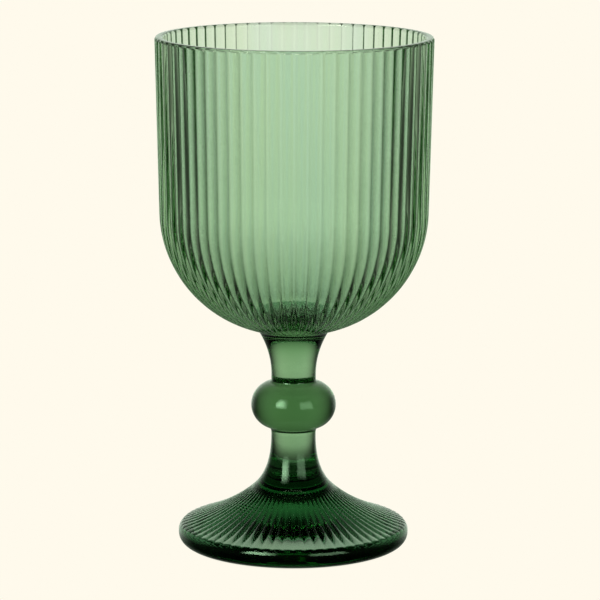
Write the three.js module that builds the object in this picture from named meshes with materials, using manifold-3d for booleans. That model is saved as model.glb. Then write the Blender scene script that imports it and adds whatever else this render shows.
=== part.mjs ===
// Green pressed-glass goblet: a reeded bowl, a solid stem with a knop, and a reeded foot.
// Millimetres, +Z up, origin on the table under the centre of the foot.
// The five solids are stacked on the axis and meet in flat fused joints.

import * as THREE from 'three';
import { mergeVertices } from 'three/addons/utils/BufferGeometryUtils.js';
import Module from 'manifold-3d';

const wasm = await Module();
wasm.setup();

// Reeds: convex ribs with narrow grooves between them, as many round the bowl as round the foot
const reedCount = 66;
const bowlReedDepth = 0.7;       // groove depth at the bowl's wall
const footReedDepth = 0.6;       // groove depth at the foot's edge

// Foot
const footDiameter = 70.4;
const footHeight = 18.2;         // up to the joint with the stem
const footEdgeHeight = 6.4;      // top of the plain band, where the reeds begin
const footUnderRound = 3.3;      // rounding from the band down to the table
const footBandRound = 4.5;       // rounding of the band above its widest line
const footSlope = 18.5;          // degrees from level, where the reeds meet the band
const restRingWidth = 2.6;       // flat ring that stands on the table
const footHollowDepth = 4.8;     // shallow dished hollow inside the rest ring
const footHollowFlat = 0.66;     // share of the hollow's radius where its slope heads for the flat middle

// Stem
const neckDiameter = 13.6;
const footJointDiameter = 23.6;
const footJointSlope = 44;       // degrees from level, where the flare crosses the joint
const lowerStemHeight = 17.8;
const lowerNeckStraight = 2.6;   // straight part of the neck under the knop
const upperStemHeight = 16.1;
const upperNeckStraight = 2.2;   // straight part of the neck over the knop
const bowlJointDiameter = 21.8;
const bowlJointFlare = 32;       // degrees from upright, where the stem meets the bowl

// Knop
const knopDiameter = 25.9;
const knopRound = 7.2;           // radius of its bulging outline

// Bowl
const rimDiameter = 84;
const bowlHeight = 89.5;         // from the joint with the stem to the rim
const shoulderDiameter = 81.6;   // where the round bottom meets the wall
const bowlRound = 38.1;          // radius of the round bottom's outline
const rimWall = 2.7;
const shoulderWall = 3.4;
const bowlFloor = 3.2;           // glass over the stem joint, on the axis
const rimRound = 0.9;            // rounding of both edges of the rim
const rimBand = 1.0;             // plain height between the rim and the reeds
const reedFade = 0.5;            // length over which a groove reaches its full depth

// How finely the surfaces are divided
const pointsPerReed = 3;         // one in the groove, the others on the reed's back
const stemSides = 36;
const insideSides = 60;

const degrees = Math.PI / 180;

// Radii and heights that follow from the sizes above
const footRadius = footDiameter / 2;
const neckRadius = neckDiameter / 2;
const footJointRadius = footJointDiameter / 2;
const bowlJointRadius = bowlJointDiameter / 2;
const rimRadius = rimDiameter / 2;
const shoulderRadius = shoulderDiameter / 2;
const knopArcCentre = knopDiameter / 2 - knopRound;
const knopHalfHeight = Math.sqrt(knopRound ** 2 - (neckRadius - knopArcCentre) ** 2);
const bowlArcCentre = shoulderRadius - bowlRound;
const shoulderHeight = Math.sqrt(bowlRound ** 2 - (bowlJointRadius - bowlArcCentre) ** 2);

// Outlines are lists of Vector2: x is the distance from the axis and y the height

function point(radius, height) {
  return new THREE.Vector2(radius, height);
}

// Arc about a centre; angles in radians, 0 pointing away from the axis and a quarter turn up
function arc(centreRadius, centreHeight, radius, from, to, steps) {
  const curve = new THREE.EllipseCurve(centreRadius, centreHeight, radius, radius, from, to, to < from);
  return curve.getPoints(steps);
}

// Flare between two points, leaving each along its own direction
function flare(start, startDirection, end, endDirection, steps) {
  const gap = end.clone().sub(start);
  const cross = startDirection.cross(endDirection);
  const along = gap.cross(endDirection) / cross;
  const corner = start.clone().addScaledVector(startDirection, along);
  return new THREE.QuadraticBezierCurve(start, corner, end).getPoints(steps);
}

// Direction of an outline that rises at an angle from level, towards or away from the axis
function direction(angle, outward) {
  return point(outward ? Math.cos(angle) : -Math.cos(angle), Math.sin(angle));
}

// Turns an outline round the Z axis into a closed solid
function turn(outline, sides, shape = null) {
  const lathe = new THREE.LatheGeometry(outline, sides);
  if (shape) shape(lathe.attributes.position);
  lathe.deleteAttribute('normal');
  lathe.deleteAttribute('uv');
  lathe.rotateX(Math.PI / 2);
  const welded = mergeVertices(lathe);
  const corners = [];
  for (let i = 0; i < welded.index.count; i += 3) {
    const [a, b, c] = [0, 1, 2].map((step) => welded.index.getX(i + step));
    if (a !== b && b !== c && c !== a) corners.push(a, b, c);
  }
  welded.setIndex(corners);
  return welded;
}

// Turns an outline with grooves pressed into it; depths holds the groove depth at each outline point
function turnReeded(outline, depths) {
  const press = (position) => {
    for (let side = 0; side <= reedCount * pointsPerReed; side++) {
      if (side % pointsPerReed !== 0) continue;
      const angle = (side / (reedCount * pointsPerReed)) * 2 * Math.PI;
      outline.forEach((here, row) => {
        const before = outline[Math.max(row - 1, 0)];
        const after = outline[Math.min(row + 1, outline.length - 1)];
        const along = after.clone().sub(before).normalize();
        const radius = here.x - along.y * depths[row];
        const height = here.y + along.x * depths[row];
        const vertex = side * outline.length + row;
        position.setXYZ(vertex, radius * Math.sin(angle), height, radius * Math.cos(angle));
      });
    }
  };
  return turn(outline, reedCount * pointsPerReed, press);
}

// Takes one closed geometry out of another
function cut(body, hollow) {
  const [solid, tool] = [body, hollow].map((geometry) => new wasm.Manifold(new wasm.Mesh({
    numProp: 3,
    vertProperties: new Float32Array(geometry.attributes.position.array),
    triVerts: new Uint32Array(geometry.index.array),
  })));
  const mesh = solid.subtract(tool).getMesh();
  const result = new THREE.BufferGeometry();
  result.setAttribute('position', new THREE.BufferAttribute(mesh.vertProperties, 3));
  result.setIndex(new THREE.BufferAttribute(mesh.triVerts, 1));
  return result;
}

// Foot: plain rounded band, reeded slope up to the stem joint, hollow underneath
function footGeometry() {
  const bandAngle = Math.asin((footEdgeHeight - footUnderRound) / footBandRound);
  const underArc = arc(footRadius - footUnderRound, footUnderRound, footUnderRound, -Math.PI / 2, 0, 3);
  const bandArc = arc(footRadius - footBandRound, footUnderRound, footBandRound, 0, bandAngle, 2);
  const bandTop = bandArc[bandArc.length - 1];
  const joint = point(footJointRadius, footHeight);
  const slope = flare(
    bandTop, direction(footSlope * degrees, false),
    joint, direction(footJointSlope * degrees, false), 5,
  );
  const outline = [point(0, 0), ...underArc, ...bandArc.slice(1), ...slope.slice(1), point(0, footHeight)];
  const reeded = slope.slice(1, -1);
  const depths = outline.map((p) => (reeded.includes(p) ? (footReedDepth * p.x) / footRadius : 0));
  const restInner = footRadius - footUnderRound - restRingWidth;
  const dish = new THREE.QuadraticBezierCurve(
    point(restInner, 0), point(restInner * footHollowFlat, footHollowDepth), point(0, footHollowDepth),
  ).getPoints(5);
  const hollow = [point(0, -footHollowDepth), point(restInner, -footHollowDepth), ...dish];
  return cut(turnReeded(outline, depths), turn(hollow, insideSides));
}

// Lower stem: flare from the foot joint to the neck, straight under the knop
function lowerStemGeometry() {
  const neckBase = point(neckRadius, lowerStemHeight - lowerNeckStraight);
  const sides = flare(
    point(footJointRadius, 0), direction(footJointSlope * degrees, false), neckBase, point(0, 1), 6,
  );
  const outline = [point(0, 0), ...sides, point(neckRadius, lowerStemHeight), point(0, lowerStemHeight)];
  return turn(outline, stemSides);
}

// Knop: a round bulge between the two necks
function knopGeometry() {
  const halfAngle = Math.asin(knopHalfHeight / knopRound);
  const bulge = arc(knopArcCentre, knopHalfHeight, knopRound, -halfAngle, halfAngle, 10);
  return turn([point(0, 0), ...bulge, point(0, knopHalfHeight * 2)], stemSides);
}

// Upper stem: straight over the knop, then flaring to the bowl joint
function upperStemGeometry() {
  const sides = flare(
    point(neckRadius, upperNeckStraight), point(0, 1),
    point(bowlJointRadius, upperStemHeight), direction((90 - bowlJointFlare) * degrees, true), 5,
  );
  const outline = [point(0, 0), point(neckRadius, 0), ...sides, point(0, upperStemHeight)];
  return turn(outline, stemSides);
}

// Bowl: round reeded bottom, reeded wall widening to a plain rim band, smooth inside
function bowlGeometry() {
  const startAngle = -Math.acos((bowlJointRadius - bowlArcCentre) / bowlRound);
  const bottom = arc(bowlArcCentre, shoulderHeight, bowlRound, startAngle, 0, 7);
  const wallRadius = (height) => {
    const share = (height - shoulderHeight) / (bowlHeight - rimRound - shoulderHeight);
    return THREE.MathUtils.lerp(shoulderRadius, rimRadius, share);
  };
  const reedTop = bowlHeight - rimBand;
  const fullDepth = point(wallRadius(reedTop - reedFade), reedTop - reedFade);
  const bandBase = point(wallRadius(reedTop), reedTop);
  const rimArc = arc(rimRadius - rimRound, bowlHeight - rimRound, rimRound, 0, Math.PI / 2, 2);
  const outline = [point(0, 0), ...bottom, fullDepth, bandBase, ...rimArc, point(0, bowlHeight)];
  const reeded = [...bottom.slice(1), fullDepth];
  const depths = outline.map((p) => (reeded.includes(p) ? (bowlReedDepth * p.x) / rimRadius : 0));

  const insideRim = rimRadius - rimWall;
  const insideShoulder = shoulderRadius - shoulderWall;
  const insideDepth = shoulderHeight - bowlFloor;
  const insideBottom = new THREE.EllipseCurve(
    0, shoulderHeight, insideShoulder, insideDepth, -Math.PI / 2, 0,
  ).getPoints(7);
  const lip = arc(insideRim + rimRound, bowlHeight - rimRound, rimRound, Math.PI, Math.PI / 2, 2);
  const above = bowlHeight + rimRound;
  const inside = [
    point(0, bowlFloor), ...insideBottom.slice(1), ...lip, point(insideRim + rimRound, above), point(0, above),
  ];
  return cut(turnReeded(outline, depths), turn(inside, insideSides));
}

// Green glass; it looks paler where it is thin and darker where it is thick
function glass(color) {
  return new THREE.MeshStandardMaterial({ color, roughness: 0.03, metalness: 0, transparent: true, opacity: 0.6 });
}

const goblet = new THREE.Group();
let height = 0;

function stack(name, geometry, material, rise) {
  const mesh = new THREE.Mesh(geometry, material);
  mesh.name = name;
  mesh.position.z = height;
  goblet.add(mesh);
  height += rise;
}

stack('foot', footGeometry(), glass(0x1f5a38), footHeight);
stack('lower_stem', lowerStemGeometry(), glass(0x1c5a37), lowerStemHeight);
stack('knop', knopGeometry(), glass(0x3c7846), knopHalfHeight * 2);
stack('upper_stem', upperStemGeometry(), glass(0x82aa73), upperStemHeight);
stack('bowl', bowlGeometry(), glass(0xafcda5), bowlHeight);

export default goblet;
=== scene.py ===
# Green pressed-glass goblet on a pale studio floor
# The glass is fused from five turned pieces. Each is a closed mesh of its own, and the two faces of
# a joint let light straight through, so that the glass looks like one piece, as the real one does.

import math

import bpy
from mathutils import Matrix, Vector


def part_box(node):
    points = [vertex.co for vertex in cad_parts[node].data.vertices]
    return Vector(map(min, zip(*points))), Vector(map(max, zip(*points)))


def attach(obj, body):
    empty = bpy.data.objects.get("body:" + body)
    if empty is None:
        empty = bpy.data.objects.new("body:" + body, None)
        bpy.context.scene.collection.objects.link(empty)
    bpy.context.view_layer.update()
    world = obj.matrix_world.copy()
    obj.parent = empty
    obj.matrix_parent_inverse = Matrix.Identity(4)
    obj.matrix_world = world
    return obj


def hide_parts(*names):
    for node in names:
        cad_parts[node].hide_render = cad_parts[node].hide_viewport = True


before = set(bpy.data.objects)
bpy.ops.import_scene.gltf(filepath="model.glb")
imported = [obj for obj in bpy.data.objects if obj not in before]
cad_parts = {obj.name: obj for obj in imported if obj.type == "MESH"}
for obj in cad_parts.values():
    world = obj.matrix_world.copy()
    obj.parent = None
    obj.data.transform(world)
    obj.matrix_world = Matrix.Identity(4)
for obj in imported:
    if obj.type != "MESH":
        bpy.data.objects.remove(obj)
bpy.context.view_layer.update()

mm = 0.001
sameSpot = 1e-7          # metres; points closer than this count as one

# Heights of the joints and outer sizes, from the frame
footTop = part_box("foot")[1].z
knopBottom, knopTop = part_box("knop")[0].z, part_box("knop")[1].z
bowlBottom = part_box("bowl")[0].z
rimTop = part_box("bowl")[1].z
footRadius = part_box("foot")[1].x
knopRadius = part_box("knop")[1].x
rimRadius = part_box("bowl")[1].x
print("frame: rim", round(rimRadius * 2 / mm, 1), "mm, height", round(rimTop / mm, 1), "mm")


# Outlines: lists of (distance from the axis, height)

def arcPoints(centreRadius, centreHeight, radius, start, end, steps):
    angles = [math.radians(start + (end - start) * i / steps) for i in range(steps + 1)]
    return [(centreRadius + radius * math.cos(a), centreHeight + radius * math.sin(a))
            for a in angles]


# Quadratic curve that sets out for the corner and turns away to the end
def curvePoints(start, corner, end, steps):
    points = []
    for i in range(steps + 1):
        t = i / steps
        weights = ((1 - t) ** 2, 2 * t * (1 - t), t ** 2)
        points.append(tuple(sum(w * p[k] for w, p in zip(weights, (start, corner, end)))
                            for k in (0, 1)))
    return points


# Where two lines meet, with their angles in degrees from level
def lineCrossing(a, aAngle, b, bAngle):
    ax, ay = math.cos(math.radians(aAngle)), math.sin(math.radians(aAngle))
    bx, by = math.cos(math.radians(bAngle)), math.sin(math.radians(bAngle))
    along = ((b[0] - a[0]) * by - (b[1] - a[1]) * bx) / (ax * by - ay * bx)
    return (a[0] + ax * along, a[1] + ay * along)


def linePoints(start, end, steps):
    return [tuple(start[k] + (end[k] - start[k]) * i / steps for k in (0, 1))
            for i in range(steps + 1)]


# Takes a length off the end of an outline
def trimEnd(points, reach):
    points = list(points)
    while len(points) > 2 and math.dist(points[-1], points[-2]) <= reach:
        reach -= math.dist(points[-1], points[-2])
        points.pop()
    share = reach / math.dist(points[-1], points[-2])
    points[-1] = tuple(points[-1][k] + (points[-2][k] - points[-1][k]) * share for k in (0, 1))
    return points


# Joins two outlines with a small round at their corner
def blended(first, second, reach, steps):
    corner = first[-1]
    first = trimEnd(first, reach)
    second = trimEnd(second[::-1], reach)[::-1]
    return first[:-1] + curvePoints(first[-1], corner, second[0], steps) + second[1:]


# The stretch of an outline between two heights, without the outline's own first point
def heightSlice(points, low=-math.inf, high=math.inf):
    kept = []
    for a, b in zip(points, points[1:]):
        for level in (low, high):
            if min(a[1], b[1]) < level < max(a[1], b[1]):
                share = (level - a[1]) / (b[1] - a[1])
                cut = (a[0] + (b[0] - a[0]) * share, level)
                if level == low:
                    kept = [cut]
                else:
                    return kept + [cut]
        if low <= b[1] <= high:
            kept.append(b)
    return kept


# Runs an outline in to the axis at both ends
def closed(points):
    return [(0.0, points[0][1])] + points + [(0.0, points[-1][1])]


# Puts points closer together on the stretches that are wanted
def refined(points, steps, wanted):
    fine = []
    for a, b in zip(points, points[1:]):
        fine += linePoints(a, b, steps if wanted(a, b) else 1)[:-1]
    return fine + [points[-1]]


def clampedShare(value, reach):
    return min(max(value / reach, 0.0), 1.0)


def eased(share):
    return share * share * (3 - 2 * share)


foot = {
    "edgeHeight": 6.2 * mm,         # top of the plain band
    "underRound": 3.3 * mm,
    "bandRound": 4.5 * mm,
    "edgeRound": 1.1 * mm,          # how far the round in the middle of the band reaches
    "cornerRound": 0.45 * mm,       # the same where the band meets the slope
    "slope": 18.5,                  # degrees from level at the band
    "jointRadius": 11.8 * mm,
    "jointSlope": 44,               # degrees from level where the flare crosses the joint
    "restWidth": 2.6 * mm,
    "restRound": 0.4 * mm,          # the same where the hollow meets the rest ring
    "hollowDepth": 4.8 * mm,
    "hollowFlat": 0.66,             # share of its radius where its slope heads for the middle
    "reedEndHeight": 6.1 * mm,      # the middle of the reeds' round ends
    "reedEndDepth": 0.4,            # share of the reeds' depth there
    "reedEndPower": 3,              # how softly they start below it
    "reedRise": 5.0 * mm,           # the reeds reach their full depth over this length
    "reedFade": 2.5 * mm,           # and lose it over this height under the joint
    "closerTo": 1.0 * mm,           # the points lie closer up to this far above the band
}
stem = {
    "neckRadius": 6.8 * mm,
    "lowerStraight": 2.6 * mm,
    "upperStraight": 2.2 * mm,
    "bowlJointRadius": 10.9 * mm,
    "bowlJointFlare": 32,           # degrees from upright
    "knopRound": 7.2 * mm,
    "lowerCrease": 1.6 * mm,        # how far the rounds at the creases reach
    "upperCrease": 0.9 * mm,
    "bowlCrease": 1.0 * mm,
}
bowl = {
    "shoulderRadius": 40.8 * mm,
    "bottomRound": 38.1 * mm,
    "rimWall": 2.7 * mm,
    "shoulderWall": 3.4 * mm,
    "floor": 3.2 * mm,
    "rimRound": 0.9 * mm,
    "rimBand": 0.3 * mm,            # the reeds end this far below the top of the rim
    "reedFade": 1.5 * mm,           # the reeds reach their full depth this far above the joint
    "closerFrom": 4.0 * mm,         # the points lie closer from this far below the reeds' ends
}
reeds = {
    "count": 66,
    "bowlDepth": 0.7 * mm,
    "footDepth": 0.42 * mm,
    "bowlRoundness": 2.0,           # power of the reed's section: higher has narrower grooves
    "footRoundness": 2.3,
    "bowlEnd": 0.3,                 # length of a reed's rounded end, in half reed widths
    "footEnd": 0.6,
    "pastEnd": 3,                   # how fast a groove runs out past the reeds' ends
    "stepsPerReed": 8,              # flat strips across each reed
}
divisions = {                       # how finely each stretch is divided
    "underRound": 10,
    "edgeRound": 12,
    "bandTop": 6,
    "slope": 52,
    "flare": 24,
    "neck": 6,
    "knop": 40,
    "bowlBottom": 48,
    "bowlWall": 24,
    "rimRound": 8,
    "crease": 6,
    "hollow": 28,
    "restRound": 4,
    "insideWall": 6,
    "insideBottom": 40,
    "footReedEnd": 4,               # times as fine where the reeds end
    "bowlReedEnd": 8,
    "aroundStem": 128,
}

shoulderHeight = bowlBottom + math.sqrt(
    bowl["bottomRound"] ** 2
    - (stem["bowlJointRadius"] - bowl["shoulderRadius"] + bowl["bottomRound"]) ** 2)


# From the table up to the rim, without the reeds
def outsideOutline():
    under = foot["underRound"]
    band = arcPoints(footRadius - under, under, under, -90, 0, divisions["underRound"])
    bandAngle = math.degrees(math.asin((foot["edgeHeight"] - under) / foot["bandRound"]))
    bandTop = arcPoints(
        footRadius - foot["bandRound"], under, foot["bandRound"], 0, bandAngle, 1)[-1]
    edge = lineCrossing(band[-1], 90, bandTop, 90 + bandAngle)
    band = blended(band + [edge], linePoints(edge, bandTop, divisions["bandTop"]),
                   foot["edgeRound"], divisions["edgeRound"])
    joint = (foot["jointRadius"], footTop)
    corner = lineCrossing(band[-1], 180 - foot["slope"], joint, 180 - foot["jointSlope"])
    slope = curvePoints(band[-1], corner, joint, divisions["slope"])

    neck = (stem["neckRadius"], knopBottom - stem["lowerStraight"])
    corner = lineCrossing(joint, 180 - foot["jointSlope"], neck, 90)
    lowerFlare = curvePoints(joint, corner, neck, divisions["flare"])
    lowerNeck = linePoints(neck, (stem["neckRadius"], knopBottom), divisions["neck"])

    knopMiddle = (knopBottom + knopTop) / 2
    halfAngle = math.degrees(math.asin((knopTop - knopMiddle) / stem["knopRound"]))
    knop = arcPoints(knopRadius - stem["knopRound"], knopMiddle, stem["knopRound"],
                     -halfAngle, halfAngle, divisions["knop"])

    upperNeck = linePoints(
        (stem["neckRadius"], knopTop), (stem["neckRadius"], knopTop + stem["upperStraight"]),
        divisions["neck"])
    joint = (stem["bowlJointRadius"], bowlBottom)
    corner = lineCrossing(upperNeck[-1], 90, joint, 90 - stem["bowlJointFlare"])
    upperFlare = curvePoints(upperNeck[-1], corner, joint, divisions["flare"])

    arcCentre = bowl["shoulderRadius"] - bowl["bottomRound"]
    startAngle = -math.degrees(
        math.acos((stem["bowlJointRadius"] - arcCentre) / bowl["bottomRound"]))
    bottom = arcPoints(arcCentre, shoulderHeight, bowl["bottomRound"],
                       startAngle, 0, divisions["bowlBottom"])
    wall = linePoints(bottom[-1], (rimRadius, rimTop - bowl["rimRound"]), divisions["bowlWall"])
    rim = arcPoints(rimRadius - bowl["rimRound"], rimTop - bowl["rimRound"], bowl["rimRound"],
                    0, 90, divisions["rimRound"])

    steps = divisions["crease"]
    whole = blended(band, slope, foot["cornerRound"], steps) + lowerFlare[1:] + lowerNeck[1:]
    whole = blended(whole, knop, stem["lowerCrease"], steps)
    whole = blended(whole, upperNeck + upperFlare[1:], stem["upperCrease"], steps)
    return blended(whole, bottom + wall[1:] + rim[1:], stem["bowlCrease"], steps)


# The tree that turns an outline and presses the reeds into it

def mathNode(tree, operation, *values):
    node = tree.nodes.new("ShaderNodeMath")
    node.operation = operation
    for socket, value in zip(node.inputs, values):
        if isinstance(value, (int, float)):
            socket.default_value = value
        else:
            tree.links.new(value, socket)
    return node.outputs[0]


def lengthOf(tree, first, second):
    return mathNode(tree, "SQRT", mathNode(
        tree, "ADD",
        mathNode(tree, "MULTIPLY", first, first), mathNode(tree, "MULTIPLY", second, second)))


def reededTurningTree():
    tree = bpy.data.node_groups.new("reededTurning", "GeometryNodeTree")
    tree.interface.new_socket(name="Geometry", in_out="INPUT", socket_type="NodeSocketGeometry")
    for name, kind, value in (
        ("Rows", "NodeSocketInt", 10), ("Reeds", "NodeSocketInt", reeds["count"]),
        ("Steps per Reed", "NodeSocketInt", reeds["stepsPerReed"]),
        ("Roundness", "NodeSocketFloat", reeds["bowlRoundness"]),
        ("Low Band", "NodeSocketFloat", 0.0),
    ):
        socket = tree.interface.new_socket(name=name, in_out="INPUT", socket_type=kind)
        socket.default_value = value
    tree.interface.new_socket(name="Material", in_out="INPUT", socket_type="NodeSocketMaterial")
    tree.interface.new_socket(name="Geometry", in_out="OUTPUT", socket_type="NodeSocketGeometry")
    nodes, links = tree.nodes, tree.links
    given, result = nodes.new("NodeGroupInput"), nodes.new("NodeGroupOutput")
    rows, steps = given.outputs["Rows"], given.outputs["Steps per Reed"]
    columns = mathNode(tree, "MULTIPLY", given.outputs["Reeds"], steps)

    # A grid with a row for each point of the outline
    grid = nodes.new("GeometryNodeMeshGrid")
    links.new(mathNode(tree, "ADD", columns, 1), grid.inputs["Vertices X"])
    links.new(rows, grid.inputs["Vertices Y"])
    index = nodes.new("GeometryNodeInputIndex").outputs[0]
    middle = mathNode(tree, "ADD", index, 0.5)       # between whole numbers, safe to round down
    column = mathNode(tree, "FLOOR", mathNode(tree, "DIVIDE", middle, rows))
    row = mathNode(tree, "SUBTRACT", index, mathNode(tree, "MULTIPLY", column, rows))

    def sampled(kind, value, at):
        node = nodes.new("GeometryNodeSampleIndex")
        node.data_type, node.clamp = kind, True
        links.new(given.outputs["Geometry"], node.inputs["Geometry"])
        links.new(value, node.inputs["Value"])
        links.new(at, node.inputs["Index"])
        return node.outputs[0]

    def named(name):
        node = nodes.new("GeometryNodeInputNamedAttribute")
        node.data_type = "FLOAT"
        node.inputs["Name"].default_value = name
        return sampled("FLOAT", node.outputs[0], row)

    def split(vector):
        node = nodes.new("ShaderNodeSeparateXYZ")
        links.new(vector, node.inputs[0])
        return node.outputs

    # Direction of the outline, from the points on both sides
    place = nodes.new("GeometryNodeInputPosition").outputs[0]
    here = split(sampled("FLOAT_VECTOR", place, row))
    before = split(sampled("FLOAT_VECTOR", place, mathNode(tree, "SUBTRACT", row, 1)))
    after = split(sampled("FLOAT_VECTOR", place, mathNode(tree, "ADD", row, 1)))
    alongR = mathNode(tree, "SUBTRACT", after["X"], before["X"])
    alongZ = mathNode(tree, "SUBTRACT", after["Z"], before["Z"])
    notZero = 1e-9
    length = mathNode(tree, "MAXIMUM", lengthOf(tree, alongR, alongZ), notZero)

    # Across the reed from -1 to 1, and the distance to the middle of its rounded end
    nudge = 1e-4                                     # keeps a reed's first column in its own reed
    share = mathNode(tree, "FRACT", mathNode(
        tree, "DIVIDE", mathNode(tree, "ADD", column, nudge), steps))
    across = mathNode(tree, "SUBTRACT", mathNode(tree, "MULTIPLY", share, 2), 1)
    beyond = mathNode(tree, "MAXIMUM", mathNode(tree, "SUBTRACT", 1, named("fromEnd")), 0)
    outline = lengthOf(tree, across, beyond)
    groove = mathNode(tree, "POWER", mathNode(tree, "MINIMUM", outline, 1),
                      given.outputs["Roundness"])

    # Past the ends the surface rises again, or stays low in a band all the way round
    past = mathNode(tree, "MAXIMUM", mathNode(tree, "SUBTRACT", outline, 1), 0)
    rise = mathNode(tree, "MINIMUM", mathNode(tree, "MULTIPLY", past, reeds["pastEnd"]), 1)
    rise = mathNode(tree, "MULTIPLY", rise,
                    mathNode(tree, "SUBTRACT", 1, given.outputs["Low Band"]))
    groove = mathNode(tree, "MULTIPLY", groove, mathNode(tree, "SUBTRACT", 1, rise))
    press = mathNode(tree, "MULTIPLY", named("depth"), groove)
    radius = mathNode(tree, "SUBTRACT", here["X"], mathNode(
        tree, "MULTIPLY", press, mathNode(tree, "DIVIDE", alongZ, length)))
    height = mathNode(tree, "ADD", here["Z"], mathNode(
        tree, "MULTIPLY", press, mathNode(tree, "DIVIDE", alongR, length)))

    angle = mathNode(tree, "MULTIPLY", mathNode(tree, "DIVIDE", column, columns), 2 * math.pi)
    spot = nodes.new("ShaderNodeCombineXYZ")
    sideways = mathNode(tree, "MULTIPLY", radius, mathNode(tree, "SINE", angle))
    links.new(sideways, spot.inputs[0])
    depth = mathNode(tree, "MULTIPLY", radius, mathNode(tree, "COSINE", angle))
    links.new(mathNode(tree, "MULTIPLY", depth, -1), spot.inputs[1])
    links.new(height, spot.inputs[2])
    moved = nodes.new("GeometryNodeSetPosition")
    links.new(grid.outputs[0], moved.inputs["Geometry"])
    links.new(spot.outputs[0], moved.inputs["Position"])

    # Seam and poles closed, faces smooth
    welded = nodes.new("GeometryNodeMergeByDistance")
    welded.inputs["Distance"].default_value = sameSpot
    links.new(moved.outputs[0], welded.inputs[0])
    smooth = nodes.new("GeometryNodeSetShadeSmooth")
    links.new(welded.outputs[0], smooth.inputs[0])
    real = nodes.new("GeometryNodeRealizeInstances")
    links.new(smooth.outputs[0], real.inputs[0])
    painted = nodes.new("GeometryNodeSetMaterial")
    links.new(real.outputs[0], painted.inputs["Geometry"])
    links.new(given.outputs["Material"], painted.inputs["Material"])
    links.new(painted.outputs[0], result.inputs[0])
    return tree


def setInput(modifier, name, value):
    socket = next(s for s in modifier.node_group.interface.items_tree
                  if s.item_type == "SOCKET" and s.in_out == "INPUT" and s.name == name)
    modifier[socket.identifier] = value


# Turns an outline; a reeded one has a depth and a distance from the reeds' ends for each point
def turnedPiece(name, outline, material, depths=None, ends=None, roundness=2.0, lowBand=0.0):
    mesh = bpy.data.meshes.new(name + "Outline")
    edges = [(i, i + 1) for i in range(len(outline) - 1)]
    mesh.from_pydata([(r, 0, z) for r, z in outline], edges, [])
    for label, values in (("depth", depths), ("fromEnd", ends)):
        layer = mesh.attributes.new(label, "FLOAT", "POINT")
        layer.data.foreach_set("value", values or [0.0] * len(outline))
    maker = bpy.data.objects.new(name + "Outline", mesh)
    bpy.context.collection.objects.link(maker)
    modifier = maker.modifiers.new("reeds", "NODES")
    modifier.node_group = turningTree
    setInput(modifier, "Rows", len(outline))
    setInput(modifier, "Reeds", reeds["count"] if depths else divisions["aroundStem"])
    setInput(modifier, "Steps per Reed", reeds["stepsPerReed"] if depths else 1)
    setInput(modifier, "Roundness", roundness)
    setInput(modifier, "Low Band", lowBand)
    setInput(modifier, "Material", material)
    graph = bpy.context.evaluated_depsgraph_get()
    made = bpy.data.meshes.new_from_object(maker.evaluated_get(graph), depsgraph=graph)
    bpy.data.objects.remove(maker)
    made.name = name
    piece = bpy.data.objects.new(name, made)
    bpy.context.collection.objects.link(piece)
    return piece


# Flat joint faces get joint = 1 and a sharp rim
def markJoints(piece, heights):
    mesh = piece.data
    layer = mesh.attributes.new("joint", "FLOAT", "FACE")
    flat = [any(all(abs(mesh.vertices[v].co.z - h) < sameSpot for v in face.vertices)
                for h in heights)
            for face in mesh.polygons]
    layer.data.foreach_set("value", [1.0 if isFlat else 0.0 for isFlat in flat])
    sides = {}
    for face, isFlat in zip(mesh.polygons, flat):
        for key in face.edge_keys:
            sides.setdefault(key, set()).add(isFlat)
    for edge in mesh.edges:
        edge.use_edge_sharp = len(sides.get(edge.key, ())) == 2


# Glass

glass = {
    "ior": 1.5,
    "roughness": 0.0,
    "waveScale": 60,                # soft waves of the pressed surface, per metre
    "cordScale": 320,               # finer streaks drawn out along the height
    "cordStretch": 0.12,            # their scale along the height, against that across
    "waveDepth": 0.008 * mm,
    "waveDetail": 2,
    "tintScale": 90,
    "tintDetail": 1,
    "tintEdges": (0.35, 0.65),
    "tints": ((0.91, 1.0, 0.92), (0.88, 0.985, 0.96)),
    "densityMargin": 1.05,          # times the strongest absorption, so that no colour is zero
}
tones = {                           # absorbed per metre, and tint of what is reflected face on
    "bowlGlass": {"absorbed": (104, 62, 106), "reflected": (1.0, 1.0, 0.9)},
    "stemGlass": {"absorbed": (104, 62, 106), "reflected": (0.67, 1.0, 0.7)},
    # painted shade: this copy of the same glass absorbs more in every colour, so the knop renders
    # darker than the stem
    "knopGlassPaintedShade": {"absorbed": (112, 72, 116), "reflected": (0.67, 1.0, 0.7)},
    "footGlass": {"absorbed": (111, 62, 97), "reflected": (0.67, 1.0, 0.7)},
}


def noiseNode(tree, place, scale, detail):
    node = tree.nodes.new("ShaderNodeTexNoise")
    node.inputs["Scale"].default_value = scale
    node.inputs["Detail"].default_value = detail
    tree.links.new(place, node.inputs["Vector"])
    return node.outputs["Fac"]


# From one value away from the fused joints to another on them
def jointRange(tree, away, atJoint):
    joint = tree.nodes.new("ShaderNodeAttribute")
    joint.attribute_name = "joint"
    node = tree.nodes.new("ShaderNodeMapRange")
    node.inputs["To Min"].default_value = away
    node.inputs["To Max"].default_value = atJoint
    tree.links.new(joint.outputs["Fac"], node.inputs["Value"])
    return node.outputs[0]


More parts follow.
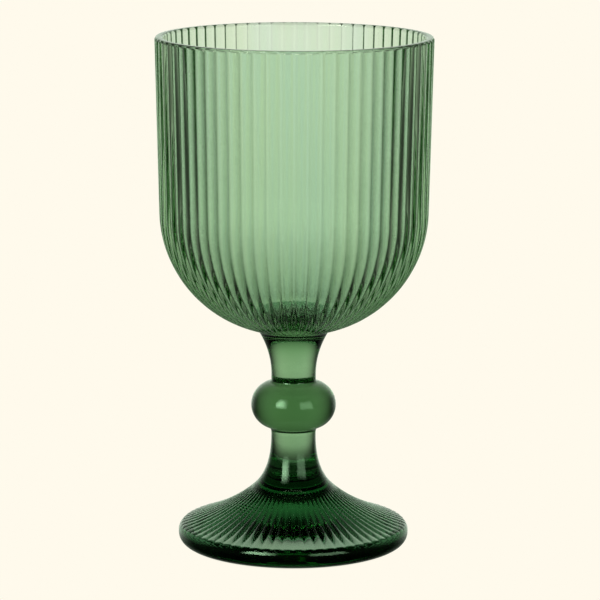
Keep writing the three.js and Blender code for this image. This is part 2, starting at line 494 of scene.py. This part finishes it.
def glassMaterial(name, absorbed, reflected):
    material = bpy.data.materials.new(name)
    material.use_nodes = True
    tree = material.node_tree
    tree.nodes.clear()
    output = tree.nodes.new("ShaderNodeOutputMaterial")
    shader = tree.nodes.new("ShaderNodeBsdfPrincipled")
    shader.inputs["Roughness"].default_value = glass["roughness"]
    shader.inputs["Transmission Weight"].default_value = 1
    shader.inputs["Specular Tint"].default_value = (*reflected, 1)
    bending = jointRange(tree, glass["ior"], 1.0)    # none at the fused joints
    tree.links.new(bending, shader.inputs["IOR"])

    place = tree.nodes.new("ShaderNodeTexCoord").outputs["Object"]
    waves = noiseNode(tree, place, glass["waveScale"], glass["waveDetail"])
    streaks = tree.nodes.new("ShaderNodeMapping")
    streaks.inputs["Scale"].default_value = (1.0, 1.0, glass["cordStretch"])
    tree.links.new(place, streaks.inputs["Vector"])
    cords = noiseNode(tree, streaks.outputs[0], glass["cordScale"], glass["waveDetail"])
    bump = tree.nodes.new("ShaderNodeBump")
    bump.inputs["Distance"].default_value = glass["waveDepth"]
    tree.links.new(mathNode(tree, "ADD", waves, cords), bump.inputs["Height"])
    strength = jointRange(tree, 1.0, 0.0)            # a fused joint stays flat
    tree.links.new(strength, bump.inputs["Strength"])
    tree.links.new(bump.outputs[0], shader.inputs["Normal"])

    tint = tree.nodes.new("ShaderNodeValToRGB")
    for stop, position, colour in zip(
            tint.color_ramp.elements, glass["tintEdges"], glass["tints"]):
        stop.position, stop.color = position, (*colour, 1)
    tints = noiseNode(tree, streaks.outputs[0], glass["tintScale"], glass["tintDetail"])
    tree.links.new(tints, tint.inputs[0])
    tree.links.new(tint.outputs[0], shader.inputs["Base Color"])

    inside = tree.nodes.new("ShaderNodeVolumeAbsorption")
    density = max(absorbed) * glass["densityMargin"]
    inside.inputs["Color"].default_value = (*[1 - a / density for a in absorbed], 1)
    inside.inputs["Density"].default_value = density
    tree.links.new(shader.outputs[0], output.inputs["Surface"])
    tree.links.new(inside.outputs[0], output.inputs["Volume"])
    return material


materials = {name: glassMaterial(name, **tone) for name, tone in tones.items()}
print("glass:", len(materials), "tones")


# Pieces

jointGap = 0.01 * mm     # each side of a joint stops this short of it
turningTree = reededTurningTree()
outside = outsideOutline()
print("outline:", len(outside), "points")


def halfReedWidth(radius):
    return math.pi * radius / reeds["count"]


def footPiece():
    top = footTop - jointGap
    skin = heightSlice(outside, high=top)
    restInner = footRadius - foot["underRound"] - foot["restWidth"]
    dish = curvePoints(
        (0.0, foot["hollowDepth"]), (restInner * foot["hollowFlat"], foot["hollowDepth"]),
        (restInner, 0.0), divisions["hollow"])
    under = blended(dish, [(restInner, 0.0), skin[0]], foot["restRound"], divisions["restRound"])
    skin = refined(skin, divisions["footReedEnd"],
                   lambda a, b: foot["underRound"] < a[1] < foot["edgeHeight"] + foot["closerTo"])
    outline = under[:-1] + skin + [(0.0, top)]

    # The reeds start at the band's widest line and have round ends on its shoulder
    start = next(i for i, p in enumerate(outline)
                 if i >= len(under) and p[1] > foot["underRound"] + sameSpot)
    runs = [0.0] * (start + 1)
    for a, b in zip(outline[start:], outline[start + 1:]):
        runs.append(runs[-1] + math.dist(a, b))
    reach = next(run for run, p in zip(runs, outline) if run and p[1] > foot["reedEndHeight"])
    depths, ends = [0.0] * len(outline), [0.0] * len(outline)
    for i in range(start, len(outline) - 1):
        radius, height = outline[i]
        past = runs[i] - reach
        ends[i] = past / halfReedWidth(radius) / reeds["footEnd"] + 1
        grown = clampedShare(past, foot["reedRise"])
        rise = foot["reedEndDepth"] + (1 - foot["reedEndDepth"]) * grown
        rise *= min(runs[i] / reach, 1.0) ** foot["reedEndPower"]
        fade = eased(clampedShare(footTop - height, foot["reedFade"]))
        depths[i] = reeds["footDepth"] * radius / footRadius * fade * rise
    piece = turnedPiece("foot_glass", outline, materials["footGlass"], depths, ends,
                        roundness=reeds["footRoundness"], lowBand=1.0)
    markJoints(piece, [top])
    return piece


def stemPiece(name, low, high, material):
    low, high = low + jointGap, high - jointGap
    piece = turnedPiece(name, closed(heightSlice(outside, low, high)), materials[material])
    markJoints(piece, [low, high])
    return piece


def bowlPiece():
    bottom = bowlBottom + jointGap
    reedTop = rimTop - bowl["rimBand"]
    rimStart = rimTop - bowl["rimRound"]
    skin = refined(heightSlice(outside, low=bottom), divisions["bowlReedEnd"],
                   lambda a, b: reedTop - bowl["closerFrom"] < b[1] <= rimStart)
    innerRim = rimRadius - bowl["rimWall"]
    innerShoulder = bowl["shoulderRadius"] - bowl["shoulderWall"]
    depthInside = shoulderHeight - bowlBottom - bowl["floor"]
    lip = arcPoints(innerRim + bowl["rimRound"], rimStart, bowl["rimRound"],
                    90, 180, divisions["rimRound"])
    wall = linePoints(lip[-1], (innerShoulder, shoulderHeight), divisions["insideWall"])
    steps = divisions["insideBottom"]
    quarter = [math.radians(90 * i / steps) for i in range(1, steps)]
    insideBottom = [(innerShoulder * math.cos(a), shoulderHeight - depthInside * math.sin(a))
                    for a in quarter]
    outline = [(0.0, skin[0][1])] + skin + lip + wall[1:] + insideBottom
    outline.append((0.0, bowlBottom + bowl["floor"]))
    depths, ends = [0.0] * len(outline), [0.0] * len(outline)
    for i in range(1, len(skin) + 1):
        radius, height = outline[i]
        ends[i] = (reedTop - height) / halfReedWidth(radius) / reeds["bowlEnd"]
        fade = eased(clampedShare(height - bowlBottom, bowl["reedFade"]))
        depths[i] = reeds["bowlDepth"] * radius / rimRadius * fade
    piece = turnedPiece("bowl_glass", outline, materials["bowlGlass"], depths, ends,
                        roundness=reeds["bowlRoundness"])
    markJoints(piece, [bottom])
    return piece


glassPieces = {
    "foot": footPiece(),
    "lower_stem": stemPiece("lower_stem_glass", footTop, knopBottom, "stemGlass"),
    # the knop takes the darker copy of the glass, which is painted shade
    "knop": stemPiece("knop_glass", knopBottom, knopTop, "knopGlassPaintedShade"),
    "upper_stem": stemPiece("upper_stem_glass", knopTop, bowlBottom, "stemGlass"),
    "bowl": bowlPiece(),
}
for node, piece in glassPieces.items():
    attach(piece, "root")
    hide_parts(node)
    print("piece", piece.name, len(piece.data.polygons), "faces")


# Studio

studio = {
    "cream": (1.0, 0.956, 0.84),            # plain colour behind and under the goblet, linear
    "floorLight": (1.0, 1.0, 1.0),          # light that falls on the floor
    "reflectedLight": (0.84, 1.0, 0.82),    # colour of the room where the glass reflects it
    "backdropEdges": (16, 64),              # degrees to each side over which the backdrop ends
    "dark": 0.06,                           # level of the dark sides, seen in the glass
    "roomEdges": (66, 88),                  # degrees over which they give way to the room in front
    "roomThrough": 0.85,                    # level of that room seen through the glass
    "roomReflected": 0.04,                  # and reflected by it
    "tableEdges": (-22, -5),                # degrees over which the table gives way to the rest
    "tableThrough": 0.8,                    # level of the table seen through the glass
    "tableReflected": 0.2,                  # and in grazing reflections
    "above": (4, 52, 0.06),                 # degrees over which light fades upwards, level there
    "tableShade": (0.012, 0.075, 0.22),     # the table's shade in the glass: from, to, middle level
    "shadeBehind": 0.025,                   # its middle lies this far behind the goblet's axis
    "shadeWidth": 1.6,                      # times its depth
    "shadowReach": (0.031, 0.033),          # from the axis; the floor's shading fades out over it
    "floorSize": 6.0,
    "floorDrop": 0.1 * mm,                  # the floor lies this far under the goblet
}
softboxes = {                               # degrees to the right and up: start, full, full, end
    "left": {"around": (-55, -45, -36, -14), "up": (0, 19, 27, 54),
             "reflected": 11, "through": 6.0},
    "right": {"around": (13, 24, 50, 59), "up": (-4, 12, 26, 44),
              "reflected": 2.9, "through": 1.2},
}
cameraView = {
    "distance": 0.9882,
    "height": 0.2609,
    "lens": 198.5,
    "sensor": 36,
    "pitch": 10.63,                         # degrees below level
    "yaw": 0.109,                           # degrees to the right of the goblet
    "roll": 0.17,
}


def smoothRange(tree, value, low, high, atLow, atHigh):
    node = tree.nodes.new("ShaderNodeMapRange")
    node.interpolation_type = "SMOOTHSTEP"
    for name, number in (
        ("From Min", low), ("From Max", high), ("To Min", atLow), ("To Max", atHigh),
    ):
        if isinstance(number, (int, float)):
            node.inputs[name].default_value = number
        else:
            tree.links.new(number, node.inputs[name])
    tree.links.new(value, node.inputs["Value"])
    return node.outputs["Result"]


def colourMix(tree, factor, first, second):
    node = tree.nodes.new("ShaderNodeMix")
    node.data_type = "RGBA"
    tree.links.new(factor, node.inputs["Factor"])
    for socket, value in zip([s for s in node.inputs if s.type == "RGBA"], (first, second)):
        if isinstance(value, tuple):
            socket.default_value = (*value, 1)
        else:
            tree.links.new(value, socket)
    return next(s for s in node.outputs if s.type == "RGBA")


# A bright backdrop behind the goblet, dark sides, a room in front, the table and two softboxes, all
# seen only in the glass. The camera sees the plain colour, and the floor is lit evenly all round.
def studioWorld():
    world = bpy.data.worlds.new("studio")
    bpy.context.scene.world = world
    world.use_nodes = True
    tree = world.node_tree
    tree.nodes.clear()
    output = tree.nodes.new("ShaderNodeOutputWorld")
    back = tree.nodes.new("ShaderNodeBackground")
    parts = tree.nodes.new("ShaderNodeSeparateXYZ")
    tree.links.new(tree.nodes.new("ShaderNodeTexCoord").outputs["Generated"], parts.inputs[0])
    right, away, up = parts.outputs
    ray = tree.nodes.new("ShaderNodeLightPath").outputs

    def byRay(reflected, through):
        return mathNode(
            tree, "MULTIPLY_ADD", ray["Is Reflection Ray"], reflected - through, through)

    turned = mathNode(tree, "ABSOLUTE", mathNode(tree, "ARCTAN2", right, away))
    turned = mathNode(tree, "DEGREES", turned)
    raised = mathNode(tree, "DEGREES", mathNode(tree, "ARCSINE", up))
    backdrop = smoothRange(tree, turned, *studio["backdropEdges"], 1.0, studio["dark"])
    room = mathNode(
        tree, "SUBTRACT", byRay(studio["roomReflected"], studio["roomThrough"]), studio["dark"])
    room = mathNode(
        tree, "MULTIPLY", room, smoothRange(tree, turned, *studio["roomEdges"], 0.0, 1.0))
    level = mathNode(tree, "ADD", backdrop, room)
    table = byRay(studio["tableReflected"], studio["tableThrough"])
    level = mathNode(
        tree, "MULTIPLY", level, smoothRange(tree, raised, *studio["tableEdges"], table, 1.0))
    start, end, levelAbove = studio["above"]
    level = mathNode(
        tree, "MULTIPLY", level, smoothRange(tree, raised, start, end, 1.0, levelAbove))

    around = mathNode(tree, "DEGREES", mathNode(
        tree, "ARCTAN2", right, mathNode(tree, "MULTIPLY", away, -1)))
    for box in softboxes.values():
        glow = byRay(box["reflected"], box["through"])
        for angle, (start, full, leave, end) in ((around, box["around"]), (raised, box["up"])):
            glow = mathNode(
                tree, "MULTIPLY", glow, smoothRange(tree, angle, start, full, 0.0, 1.0))
            glow = mathNode(
                tree, "MULTIPLY", glow, smoothRange(tree, angle, leave, end, 1.0, 0.0))
        level = mathNode(tree, "ADD", level, glow)

    shade = tree.nodes.new("ShaderNodeVectorMath")
    shade.operation = "SCALE"
    colour = colourMix(tree, ray["Is Reflection Ray"], studio["cream"], studio["reflectedLight"])
    tree.links.new(colour, shade.inputs[0])
    tree.links.new(level, shade.inputs["Scale"])
    shade = colourMix(tree, ray["Is Diffuse Ray"], shade.outputs[0], studio["floorLight"])
    shade = colourMix(tree, ray["Is Camera Ray"], shade, studio["cream"])
    tree.links.new(shade, back.inputs["Color"])
    tree.links.new(back.outputs[0], output.inputs[0])


def shaderMix(tree, factor, first, second):
    node = tree.nodes.new("ShaderNodeMixShader")
    for socket, value in zip(node.inputs, (factor, first, second)):
        tree.links.new(value, socket)
    return node.outputs[0]


def vectorLength(tree, vector):
    node = tree.nodes.new("ShaderNodeVectorMath")
    node.operation = "LENGTH"
    tree.links.new(vector, node.inputs[0])
    return node.outputs["Value"]


def floorMaterial():
    material = bpy.data.materials.new("floorPaper")
    material.use_nodes = True
    tree = material.node_tree
    tree.nodes.clear()
    output = tree.nodes.new("ShaderNodeOutputMaterial")
    lit = tree.nodes.new("ShaderNodeBsdfDiffuse")
    plain = tree.nodes.new("ShaderNodeEmission")
    for shader in (lit, plain):
        shader.inputs["Color"].default_value = (*studio["cream"], 1)
    place = tree.nodes.new("ShaderNodeTexCoord").outputs["Object"]
    plainShare = smoothRange(tree, vectorLength(tree, place), *studio["shadowReach"], 0.0, 1.0)
    paper = shaderMix(tree, plainShare, lit.outputs[0], plain.outputs[0])

    # Through the glass the world stands for the table, dimmed by the shade under the goblet
    moved = tree.nodes.new("ShaderNodeVectorMath")
    moved.operation = "MULTIPLY_ADD"
    moved.inputs[1].default_value = (1 / studio["shadeWidth"], 1, 1)
    moved.inputs[2].default_value = (0, -studio["shadeBehind"], 0)
    tree.links.new(place, moved.inputs[0])
    start, end, level = studio["tableShade"]
    shade = smoothRange(tree, vectorLength(tree, moved.outputs[0]), start, end, level, 1.0)
    clear = tree.nodes.new("ShaderNodeBsdfTransparent")
    tree.links.new(shade, clear.inputs["Color"])
    through = tree.nodes.new("ShaderNodeLightPath").outputs["Is Transmission Ray"]
    seen = shaderMix(tree, through, paper, clear.outputs[0])
    tree.links.new(seen, output.inputs["Surface"])
    return material


def studioFloor():
    half = studio["floorSize"] / 2
    corners = [(-half, -half, 0), (half, -half, 0), (half, half, 0), (-half, half, 0)]
    mesh = bpy.data.meshes.new("floor")
    mesh.from_pydata(corners, [], [(0, 1, 2, 3)])
    mesh.materials.append(floorMaterial())
    floor = bpy.data.objects.new("floor", mesh)
    floor.location.z = -studio["floorDrop"]
    floor.visible_glossy = False            # the world stands for it there
    bpy.context.collection.objects.link(floor)


def addCamera():
    data = bpy.data.cameras.new("camera")
    data.lens = cameraView["lens"]
    data.sensor_width = cameraView["sensor"]
    camera = bpy.data.objects.new("camera", data)
    bpy.context.collection.objects.link(camera)
    turn = Matrix.Rotation(math.radians(-cameraView["yaw"]), 4, "Z")
    tilt = Matrix.Rotation(math.radians(90 - cameraView["pitch"]), 4, "X")
    roll = Matrix.Rotation(math.radians(cameraView["roll"]), 4, "Z")
    place = Matrix.Translation((0, -cameraView["distance"], cameraView["height"]))
    camera.matrix_world = place @ turn @ tilt @ roll
    bpy.context.scene.camera = camera


studioWorld()
studioFloor()
addCamera()
scene = bpy.context.scene
scene.view_settings.view_transform = "Standard"
scene.cycles.max_bounces = 32
scene.cycles.transmission_bounces = 32
scene.cycles.glossy_bounces = 16
scene.cycles.sample_clamp_indirect = 1.0    # fewer specks deep in the glass
print("studio: floor, camera and", len(softboxes), "softboxes")
